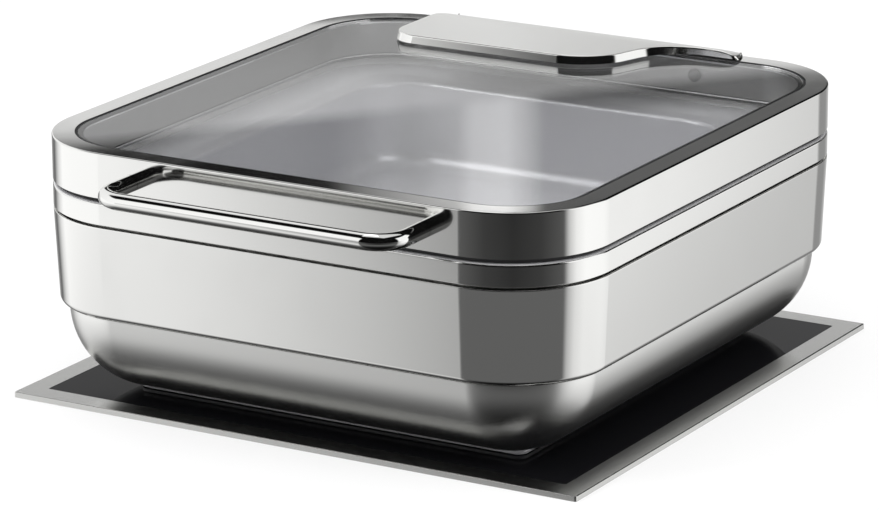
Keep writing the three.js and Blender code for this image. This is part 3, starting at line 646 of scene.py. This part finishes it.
def make_rim():
    low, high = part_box("rim_frame")
    recess = high.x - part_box("food_pan")[1].x - FIT
    rim = start_block("rim_band", low, high)
    round_uprights(rim, BODY_CORNER)
    pick_cap(rim, low.z)
    press([(SHELL_HEM, 0)])
    remove_selected_faces()
    round_rim(rim, high.z, RIM_EDGE)
    pick_cap(rim, high.z)
    press([
        (RIM_LANDING - RIM_EDGE, 0),
        (RIM_SLOPE, -DECK_DROP),
        (recess - RIM_LANDING - RIM_SLOPE, 0),
        (0, -(SHEET + FIT)),
        (LEDGE, 0),
        (0, -LEDGE_SKIRT),
    ])
    remove_selected_faces()
    finish_mesh(rim, SHEET)
    settle(rim, "dish", ["rim_frame"], DECK_POLISH)


# Food pan

def make_food_pan():
    low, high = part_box("food_pan")
    wall = Vector((PAN_FLANGE + SHEET, PAN_FLANGE + SHEET, 0))
    floor = low.z + SHEET
    pan = start_block("food_pan_drawn", low + wall + Vector((0, 0, SHEET)), high - wall)
    round_uprights(pan, PAN_WALL_CORNER)
    pick(pan, "FACE", lies_at(floor))
    draft_x = 1 - PAN_DRAFT / (high.x - wall.x)
    draft_y = 1 - PAN_DRAFT / (high.y - wall.y)
    bpy.ops.transform.resize(value=(draft_x, draft_y, 1), center_override=(0, 0, floor))
    round_rim(pan, floor, PAN_BEND, PAN_BEND_STEPS)
    pick_cap(pan, high.z)
    remove_selected_faces()
    widen_to_flange(pan, high, high - wall)
    bpy.ops.mesh.select_all(action="SELECT")
    bpy.ops.mesh.normals_make_consistent(inside=True)
    finish_mesh(pan, SHEET)
    settle(pan, "dish", ["food_pan"], PAN_SATIN)


def widen_to_flange(pan, outer, inner):
    """Draws the wall's top edge outwards to the flange's outline, corner by corner."""
    outer_corner = BODY_CORNER - (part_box("rim_frame")[1].x - outer.x)
    pick(pan, "EDGE", lambda edge: edge.is_boundary)
    bpy.ops.mesh.extrude_region_move(TRANSFORM_OT_translate={"value": (0, 0, 0)})
    for side_x in (-1, 1):
        for side_y in (-1, 1):
            pick(pan, "VERT", lambda v: v.is_boundary and v.co.x * side_x > 0 and v.co.y * side_y > 0)
            arc_centre = Vector((
                side_x * (inner.x - PAN_WALL_CORNER), side_y * (inner.y - PAN_WALL_CORNER), outer.z,
            ))
            new_centre = Vector((
                side_x * (outer.x - outer_corner), side_y * (outer.y - outer_corner), outer.z,
            ))
            size = outer_corner / PAN_WALL_CORNER
            bpy.ops.transform.resize(value=(size, size, 1), center_override=arc_centre)
            bpy.ops.transform.translate(value=new_centre - arc_centre)
    pick(pan, "EDGE", lambda edge: lies_at(outer.z)(edge) and edge.is_manifold and is_steep(edge))
    bpy.ops.mesh.bevel(
        offset=PAN_LIP, segments=SMALL_CORNER_STEPS, affect="EDGES", clamp_overlap=False,
    )


# Lid

def sleeve(name, node, corner, thickness):
    """An upright band of even thickness in the space of one node."""
    low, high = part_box(node)
    band = start_block(name, low, high)
    round_uprights(band, corner)
    pick(band, "FACE", lambda face: lies_at(low.z)(face) or lies_at(high.z)(face))
    remove_selected_faces()
    return finish_mesh(band, thickness)


def make_lid_ring():
    low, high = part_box("lid_ring")
    ring = start_block("lid_ring_pressed", low, high)
    round_uprights(ring, BODY_CORNER)
    pick_cap(ring, low.z)
    press([(RING_HEM, 0)])
    remove_selected_faces()
    round_rim(ring, high.z, RING_EDGE)
    pick_cap(ring, high.z)
    press([
        (RING_FLANGE - RING_EDGE, 0),
        (0, -RING_RECESS),
        (RING_LEDGE, 0),
    ])
    remove_selected_faces()
    finish_mesh(ring, SHEET)
    settle(ring, "lid", ["lid_ring", "lid_foot_frame", "glass_ledge"], RING_POLISH)


def make_lid_fittings():
    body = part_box("lid_ring")[1]
    wall_inset = body.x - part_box("lid_inner_wall")[1].x
    wall = sleeve("lid_wall_inside", "lid_inner_wall", BODY_CORNER - wall_inset, INNER_WALL)
    settle(wall, "lid", ["lid_inner_wall"], WALL_SATIN_PAINTED_SHADE)

    seal_inset = body.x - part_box("glass_seal")[1].x
    seal = sleeve("glass_seal_strip", "glass_seal", BODY_CORNER - seal_inset, SEAL_WIDTH)
    settle(seal, "lid", ["glass_seal"], SILICONE)

    gasket_inset = body.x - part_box("lid_gasket")[1].x
    gasket = sleeve("lid_gasket_strip", "lid_gasket", BODY_CORNER - gasket_inset, GASKET_WIDTH)
    settle(gasket, "lid", ["lid_gasket"], SILICONE)

    low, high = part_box("lid_glass")
    glass = start_block("lid_glass_sheet", low, high)
    round_uprights(glass, BODY_CORNER - (body.x - high.x))
    round_rim(glass, high.z, GLASS_BEVEL, GLASS_BEVEL_STEPS)
    round_rim(glass, low.z, GLASS_BEVEL, GLASS_BEVEL_STEPS)
    finish_mesh(glass)
    settle(glass, "lid", ["lid_glass"], LID_GLASS)


def make_handle():
    """A ring of edges swept along the loop: arm, bend, bar, bend, arm."""
    low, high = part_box("handle_loop")
    height = (low.z + high.z) / 2
    arm_x = high.x - HANDLE_RADIUS
    bar_y = low.y + HANDLE_RADIUS
    root_y = high.y
    bend_y = bar_y + HANDLE_BEND
    deselect_everything()
    bpy.ops.mesh.primitive_circle_add(
        vertices=HANDLE_SIDES, radius=HANDLE_RADIUS, location=(-arm_x, root_y, height),
        rotation=(math.pi / 2, 0, 0),
    )
    handle = bpy.context.object
    handle.name = "loop_handle"
    bpy.ops.object.transform_apply(location=True, rotation=True, scale=True)
    bpy.ops.object.mode_set(mode="EDIT")
    bpy.ops.mesh.select_mode(type="EDGE")
    bpy.ops.mesh.select_all(action="SELECT")
    bpy.ops.mesh.extrude_region_move(TRANSFORM_OT_translate={"value": (0, bend_y - root_y, 0)})
    bpy.ops.mesh.spin(
        steps=HANDLE_CORNER_STEPS, angle=-math.pi / 2, center=(-arm_x + HANDLE_BEND, bend_y, height),
        axis=(0, 0, 1),
    )
    bpy.ops.mesh.extrude_region_move(TRANSFORM_OT_translate={"value": (2 * (arm_x - HANDLE_BEND), 0, 0)})
    bpy.ops.mesh.spin(
        steps=HANDLE_CORNER_STEPS, angle=-math.pi / 2, center=(arm_x - HANDLE_BEND, bend_y, height),
        axis=(0, 0, 1),
    )
    bpy.ops.mesh.extrude_region_move(TRANSFORM_OT_translate={"value": (0, root_y - bend_y, 0)})
    bpy.ops.mesh.select_all(action="SELECT")
    bpy.ops.mesh.remove_doubles(threshold=HANDLE_WELD)
    pick(handle, "EDGE", lambda edge: edge.is_boundary)
    bpy.ops.mesh.fill_holes(sides=HANDLE_SIDES)
    bpy.ops.mesh.select_all(action="SELECT")
    bpy.ops.mesh.normals_make_consistent(inside=False)
    finish_mesh(handle)
    settle(handle, "lid", ["handle_loop"], HANDLE_POLISH)


# Hinge cover

def make_cover():
    low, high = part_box("hinge_cover")
    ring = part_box("lid_ring")[1]
    ring_back = ring.y + FIT
    flange_edge = ring.y - RING_FLANGE
    flange_foot = ring.z + COVER_CLEARANCE
    glass_foot = ring.z + COVER_GLASS_GAP
    high.x = COVER_WING_END
    cover = start_block("hinge_cover_pressed", Vector((low.x, COVER_WING_FRONT, low.z)), high)
    cut_flat(cover, COVER_TONGUE_SIDE, "X")
    pick(cover, "FACE", lambda face: face.normal.y < -FACING_SHARE
         and face.calc_center_median().x < COVER_TONGUE_SIDE)
    bpy.ops.mesh.extrude_region_move(
        TRANSFORM_OT_translate={"value": (0, low.y - COVER_WING_FRONT, 0)},
    )
    pick(cover, "VERT", lambda v: stands_at(v, COVER_TONGUE_SIDE, low.y))
    bpy.ops.transform.translate(value=(-COVER_TONGUE_SLANT, 0, 0))
    bpy.ops.mesh.select_all(action="SELECT")
    bpy.ops.mesh.dissolve_limited(angle_limit=math.radians(SAME_PLANE_ANGLE))
    round_upright_at(cover, low.x, low.y, COVER_LEFT_CORNER)
    round_upright_at(cover, COVER_TONGUE_SIDE - COVER_TONGUE_SLANT, low.y, COVER_RIGHT_CORNER)
    round_upright_at(cover, COVER_TONGUE_SIDE, COVER_WING_FRONT, COVER_FLARE)
    round_upright_at(cover, high.x, COVER_WING_FRONT, COVER_WING_CORNER)
    round_upright_at(cover, low.x, high.y, COVER_BACK_LEFT_CORNER)
    round_upright_at(cover, high.x, high.y, COVER_BACK_RIGHT_CORNER)
    round_rim(cover, high.z, COVER_EDGE)
    cut_flat(cover, ring_back, "Y")
    cut_flat(cover, flange_edge, "Y")
    cut_flat(cover, glass_foot, "Z", lambda face: face.calc_center_median().y < flange_edge)
    cut_flat(
        cover, flange_foot, "Z", lambda face: flange_edge < face.calc_center_median().y < ring_back,
    )
    lean_sides(cover, low, high)
    curve_down_back(cover, high)
    curve_down_wing(cover, glass_foot)
    pick(cover, "FACE", lambda face: face.normal.z < -FACING_SHARE
         or is_under(face, flange_foot, ring_back) or is_under(face, glass_foot, flange_edge))
    remove_selected_faces()
    finish_mesh(cover, COVER_SHEET, even=False)
    settle(cover, "lid", ["hinge_cover"], COVER_POLISH)


def cut_flat(piece, place, axis, test=lambda face: True):
    """Cuts edges where a plane across one axis meets the faces that pass the test."""
    normal = Vector([1 if name == axis else 0 for name in "XYZ"])
    pick(piece, "FACE", test)
    bpy.ops.mesh.bisect(plane_co=normal * place, plane_no=normal)


def stands_at(vertex, x, y):
    return abs(vertex.co.x - x) < SMALL and abs(vertex.co.y - y) < SMALL


def round_upright_at(piece, x, y, radius):
    pick(piece, "EDGE", lambda edge: is_upright(edge) and all(stands_at(v, x, y) for v in edge.verts))
    bpy.ops.mesh.bevel(offset=radius, segments=CORNER_STEPS, affect="EDGES", clamp_overlap=False)


def lean_sides(piece, low, high):
    """Draws the top in, so that the sides lean back a little."""
    middle = (low.x + COVER_TONGUE_SIDE) / 2
    across = 1 - COVER_LEAN / (COVER_TONGUE_SIDE - middle)
    along = 1 - COVER_LEAN / (COVER_CURVE_START - low.y)
    pick(piece, "VERT", lambda v: v.co.z > high.z - COVER_EDGE - SMALL)
    bpy.ops.transform.resize(value=(across, along, 1), center_override=(middle, COVER_CURVE_START, 0))


def is_under(face, foot, back):
    middle = face.calc_center_median()
    return middle.z < foot and middle.y < back


def cut_curve(piece, start, width, axis):
    """Cuts the edges of a quarter ellipse, closer together towards its end."""
    for i in range(COVER_CURVE_STEPS):
        angle = math.pi / 2 * i / COVER_CURVE_STEPS
        cut_flat(piece, start + width * math.sin(angle), axis)


def curve_down_back(piece, high):
    """Lowers the top along a quarter ellipse towards the back."""
    width = high.y - COVER_CURVE_START
    cut_curve(piece, COVER_CURVE_START, width, "Y")
    mesh = bmesh.from_edit_mesh(piece.data)
    for vertex in mesh.verts:
        if vertex.co.z > high.z - COVER_EDGE - SMALL and vertex.co.y > COVER_CURVE_START:
            share = min(1, (vertex.co.y - COVER_CURVE_START) / width)
            vertex.co.z -= COVER_CURVE_DROP * (1 - math.sqrt(1 - share * share))
    bmesh.update_edit_mesh(piece.data)


def curve_down_wing(piece, foot):
    """Lowers the wing's end along a quarter ellipse towards its foot."""
    width = COVER_WING_END - COVER_WING_CURVE_START
    cut_curve(piece, COVER_WING_CURVE_START, width, "X")
    mesh = bmesh.from_edit_mesh(piece.data)
    for vertex in mesh.verts:
        if vertex.co.z > foot and vertex.co.x > COVER_WING_CURVE_START:
            share = min(1, (vertex.co.x - COVER_WING_CURVE_START) / width)
            height = max(COVER_WING_END_SHARE, math.sqrt(1 - share * share))
            vertex.co.z = foot + (vertex.co.z - foot) * height
    bmesh.update_edit_mesh(piece.data)


# Small fittings that keep their CAD shape

def dress_fittings():
    finishes = {
        "hinge_backing": PAN_SATIN,
        "hinge_bracket_left": HINGE_POLISH,
        "hinge_bracket_right": HINGE_POLISH,
        "hinge_strap_left": HINGE_POLISH,
        "hinge_strap_right": HINGE_POLISH,
        "strap_bolt_left": BOLT_DARK,
        "strap_bolt_right": BOLT_DARK,
    }
    for name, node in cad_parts.items():
        if name.startswith("friction_washer"):
            finish = SILICONE
        else:
            finish = finishes.get(name, SCREW_STEEL)
        node.data.materials.clear()
        node.data.materials.append(finish)


# Studio

FLOOR_SIZE = 12
FLOOR_WHITE = (0.9, 0.9, 0.9, 1)
FLOOR_ROUGHNESS = 0.9
FLOOR_CAMERA_GLOW = 0.62
MIRROR_LIGHT = 1.5
STEEL_MIRROR = 0.8
WHITE = (1, 1, 1, 1)

# Softboxes in metres and watts: place, side, power, and whether polished faces mirror them

SOFTBOX_AIM = Vector((0, 0, 100 * MM))
SOFTBOXES = {
    "softbox_left": ((-1.9, -1.5, 2), 1.6, 34, False),
    "softbox_right": ((2.2, -0.4, 1.9), 1.4, 22, False),
    "softbox_top": ((0, 0.2, 2.6), 2.2, 12, True),
}

# Display tones are light to the standard curve: a straight toe, and a power over it

TOE_END = 0.04045
TOE_SLOPE = 12.92
CURVE_OFFSET = 0.055
CURVE_POWER = 2.4

# What polished faces mirror, as display tones by bearing in degrees: 0 is the handle's side, 90 the right.
# One list each for under the horizon, over it and overhead.

LOW_TONES = [
    (-180, 0.55), (-155, 0.8), (-120, 0.35), (-105, 0.85), (-95, 0.98), (-35, 0.97), (-31.5, 0.74),
    (-30, 0.57), (-28.5, 0.33), (0, 0.22), (30, 0.17), (60, 0.22), (85, 0.32), (91, 0.76),
    (100, 0.92), (112, 0.98), (140, 0.97), (152, 0.93), (155, 0.76), (160, 0.54),
]
HIGH_TONES = [
    (-180, 0.04), (-142, 0.04), (-135, 0.9), (-30.8, 0.97), (-30.6, 0.74), (-29.2, 0.6),
    (-28.4, 0.04), (87, 0.04), (92, 0.96), (136, 0.96), (143, 0.04),
]
OVERHEAD_TONES = [(-180, 0.04), (-148, 0.04), (-143, 0.95), (-105, 0.85), (-96, 0.04)]
BEARINGS = (-180, 180)
LOW_ELEVATIONS = (-90, 0)
LOW_TONES_TOP = 1
OVERHEAD_START = 39
OVERHEAD_FULL = 44

# Low faces mirror the floor too: its tone, where it starts, and the share of light left further down

FLOOR_TONE = 0.4
FLOOR_TONE_START = -18
FLOOR_TONE_FULL = -19.5
FLOOR_FALLOFF = [(-90, 0.02), (-59, 0.04), (-48, 0.12), (-40, 0.35), (-33, 0.7), (-21, 0.84), (-18, 1)]

# Card behind the dish: heights where its tone changes, and tones by place across in millimetres

CARD_DISTANCE = 900 * MM
CARD_WIDTH = 900 * MM
CARD_LOW = 40 * MM
CARD_HIGH = 900 * MM
CARD_FIELD_FOOT = 425 * MM
CARD_FIELD_SLANT = 0.1
CARD_FIELD_BLUR = 6 * MM
CARD_FIELD_TOP = 545 * MM
CARD_PALE_FOOT = 346 * MM
CARD_DARK_FOOT = 330 * MM
CARD_EDGE_BLUR = 1 * MM
CARD_FOOT_TONE = 0.75
CARD_DARK_TONE = 0.04
CARD_PALE_TONE = 0.82
CARD_TONES = [
    (-450, 0.07), (-105, 0.07), (-80, 0.45), (-30, 0.62), (10, 0.72), (25, 0.94), (55, 0.98), (75, 0.75),
    (90, 0.35),
]


def light_of(tone):
    """Light that polished steel shows as a display tone."""
    if tone < TOE_END:
        linear = tone / TOE_SLOPE
    else:
        linear = ((tone + CURVE_OFFSET) / (1 + CURVE_OFFSET)) ** CURVE_POWER
    return linear / STEEL_MIRROR / MIRROR_LIGHT


def mirrored_grey(tone):
    return (light_of(tone), light_of(tone), light_of(tone), 1)


def grey_ramp(tree, value, stops, low, high, level=light_of):
    """Greys by value: stops are (place, tone) between low and high."""
    node = tree.nodes.new("ShaderNodeValToRGB")
    tree.links.new(remap(tree, value, low, high), node.inputs["Fac"])
    ramp = node.color_ramp
    while len(ramp.elements) > 1:
        ramp.elements.remove(ramp.elements[-1])
    for index, (place, tone) in enumerate(stops):
        share = (place - low) / (high - low)
        stop = ramp.elements[0] if index == 0 else ramp.elements.new(share)
        stop.position = share
        stop.color = (level(tone), level(tone), level(tone), 1)
    return node.outputs["Color"]


def make_floor():
    deselect_everything()
    bpy.ops.mesh.primitive_plane_add(size=FLOOR_SIZE, location=(0, 0, cad_low.z))
    floor = bpy.context.object
    floor.name = "studio_floor"
    material, tree, shader = new_material("studio_floor_white")
    shader.inputs["Base Color"].default_value = FLOOR_WHITE
    shader.inputs["Roughness"].default_value = FLOOR_ROUGHNESS
    shader.inputs["Specular IOR Level"].default_value = 0
    path = add_node(tree, "ShaderNodeLightPath")
    glow = add_node(tree, "ShaderNodeEmission", Color=WHITE, Strength=1)
    share = calculate(tree, "MULTIPLY", path.outputs["Is Camera Ray"], FLOOR_CAMERA_GLOW)
    mix = tree.nodes.new("ShaderNodeMixShader")
    tree.links.new(share, mix.inputs["Fac"])
    tree.links.new(shader.outputs["BSDF"], mix.inputs[1])
    tree.links.new(glow.outputs["Emission"], mix.inputs[2])
    tree.links.new(mix.outputs["Shader"], tree.nodes["Material Output"].inputs["Surface"])
    floor.data.materials.append(material)
    floor.visible_glossy = False


def make_card():
    """Upright card behind the dish, seen only where steel and glass mirror it."""
    azimuth = math.radians(CAMERA_AZIMUTH)
    away = Vector((-math.sin(azimuth), math.cos(azimuth), 0))
    across = Vector((math.cos(azimuth), math.sin(azimuth), 0))
    deselect_everything()
    bpy.ops.mesh.primitive_plane_add(
        size=1, location=away * CARD_DISTANCE + Vector((0, 0, (CARD_LOW + CARD_HIGH) / 2)),
        rotation=(math.pi / 2, 0, azimuth),
    )
    card = bpy.context.object
    card.name = "studio_card"
    card.scale = (CARD_WIDTH, CARD_HIGH - CARD_LOW, 1)
    bpy.ops.object.transform_apply(location=True, rotation=True, scale=True)

    material = bpy.data.materials.new("studio_card_pattern")
    material.use_nodes = True
    tree = material.node_tree
    tree.nodes.remove(tree.nodes["Principled BSDF"])
    place = add_node(tree, "ShaderNodeTexCoord").outputs["Object"]
    sideways = tree.nodes.new("ShaderNodeVectorMath")
    sideways.operation = "DOT_PRODUCT"
    tree.links.new(place, sideways.inputs[0])
    sideways.inputs[1].default_value = across / MM
    side = sideways.outputs["Value"]
    height = add_node(tree, "ShaderNodeSeparateXYZ", Vector=place).outputs["Z"]
    field = grey_ramp(tree, side, CARD_TONES, -CARD_WIDTH / MM / 2, CARD_WIDTH / MM / 2)
    foot = calculate(tree, "MULTIPLY_ADD", side, -CARD_FIELD_SLANT * MM, CARD_FIELD_FOOT)
    over = calculate(tree, "SUBTRACT", height, foot)
    in_field = remap(tree, over, -CARD_FIELD_BLUR, CARD_FIELD_BLUR)
    over_field = remap(tree, height, CARD_FIELD_TOP - CARD_FIELD_BLUR, CARD_FIELD_TOP + CARD_FIELD_BLUR)
    dark = mirrored_grey(CARD_DARK_TONE)
    in_dark = remap(tree, height, CARD_DARK_FOOT, CARD_DARK_FOOT + CARD_FIELD_BLUR)
    in_pale = remap(tree, height, CARD_PALE_FOOT - CARD_EDGE_BLUR, CARD_PALE_FOOT + CARD_EDGE_BLUR)
    under = blend(tree, in_dark, mirrored_grey(CARD_FOOT_TONE), dark)
    under = blend(tree, in_pale, under, mirrored_grey(CARD_PALE_TONE))
    tone = blend(tree, in_field, under, field)
    tone = blend(tree, over_field, tone, dark)
    glow = add_node(tree, "ShaderNodeEmission", Color=tone, Strength=MIRROR_LIGHT)
    tree.links.new(glow.outputs["Emission"], tree.nodes["Material Output"].inputs["Surface"])
    card.data.materials.append(material)
    card.visible_camera = False
    card.visible_diffuse = False
    card.visible_transmission = False
    card.visible_shadow = False


def make_world():
    """White room. Polished faces mirror its soft boxes and dark flags by bearing and elevation."""
    world = bpy.data.worlds.new("studio")
    bpy.context.scene.world = world
    world.use_nodes = True
    tree = world.node_tree
    place = add_node(tree, "ShaderNodeTexCoord")
    split = add_node(tree, "ShaderNodeSeparateXYZ", Vector=place.outputs["Generated"])
    from_front = calculate(tree, "MULTIPLY", split.outputs["Y"], -1)
    turn = calculate(tree, "ARCTAN2", split.outputs["X"], from_front)
    bearing = calculate(tree, "DEGREES", turn)
    elevation = calculate(tree, "DEGREES", calculate(tree, "ARCSINE", split.outputs["Z"]))

    low_side = grey_ramp(tree, bearing, LOW_TONES, *BEARINGS)
    in_floor = remap(tree, elevation, FLOOR_TONE_START, FLOOR_TONE_FULL)
    low_side = blend(tree, in_floor, low_side, mirrored_grey(FLOOR_TONE), "LIGHTEN")
    falloff = grey_ramp(tree, elevation, FLOOR_FALLOFF, *LOW_ELEVATIONS, level=float)
    low_side = blend(tree, 1, low_side, falloff, "MULTIPLY")

    high_side = grey_ramp(tree, bearing, HIGH_TONES, *BEARINGS)
    overhead = grey_ramp(tree, bearing, OVERHEAD_TONES, *BEARINGS)
    high_side = blend(tree, remap(tree, elevation, OVERHEAD_START, OVERHEAD_FULL), high_side, overhead)

    over_horizon = calculate(tree, "GREATER_THAN", elevation, LOW_TONES_TOP)
    mirrored = blend(tree, over_horizon, low_side, high_side)
    path = add_node(tree, "ShaderNodeLightPath")
    background = tree.nodes["Background"]
    tree.links.new(blend(tree, path.outputs["Is Glossy Ray"], WHITE, mirrored), background.inputs["Color"])
    strength = remap(tree, path.outputs["Is Glossy Ray"], 0, 1, 1, MIRROR_LIGHT)
    tree.links.new(strength, background.inputs["Strength"])


def make_lamps():
    for name, (location, side, power, mirrored) in SOFTBOXES.items():
        deselect_everything()
        bpy.ops.object.light_add(type="AREA", location=location)
        lamp = bpy.context.object
        lamp.name = name
        lamp.data.shape = "SQUARE"
        lamp.data.size = side
        lamp.data.energy = power
        towards = SOFTBOX_AIM - Vector(location)
        lamp.rotation_euler = towards.to_track_quat("-Z", "Y").to_euler()
        lamp.visible_glossy = mirrored


def make_camera():
    azimuth = math.radians(CAMERA_AZIMUTH)
    elevation = math.radians(CAMERA_ELEVATION)
    roll = math.radians(CAMERA_ROLL)
    back = Vector((
        math.sin(azimuth) * math.cos(elevation),
        -math.cos(azimuth) * math.cos(elevation),
        math.sin(elevation),
    ))
    level_right = Vector((math.cos(azimuth), math.sin(azimuth), 0))
    level_up = back.cross(level_right)
    right = math.cos(roll) * level_right + math.sin(roll) * level_up
    up = -math.sin(roll) * level_right + math.cos(roll) * level_up
    eye = right * CAMERA_RIGHT + up * CAMERA_UP + back * CAMERA_DISTANCE + CAMERA_SHIFT
    data = bpy.data.cameras.new("photo_camera")
    data.sensor_width = SENSOR_WIDTH
    data.lens = FOCAL_PIXELS / IMAGE_WIDTH * SENSOR_WIDTH
    data.clip_start = CLIP_START
    data.clip_end = CLIP_END
    camera = bpy.data.objects.new("photo_camera", data)
    bpy.context.scene.collection.objects.link(camera)
    turned = Matrix((right, up, back)).transposed().to_4x4()
    turned.translation = eye
    camera.matrix_world = turned
    bpy.context.scene.camera = camera


make_camera()
dress_fittings()
make_plate()
make_base_disc()
make_bowl()
make_skirt()
make_rim()
make_food_pan()
make_lid_ring()
make_lid_fittings()
make_handle()
make_cover()
make_floor()
make_card()
make_world()
make_lamps()
deselect_everything()
bpy.context.scene.view_settings.view_transform = "Standard"
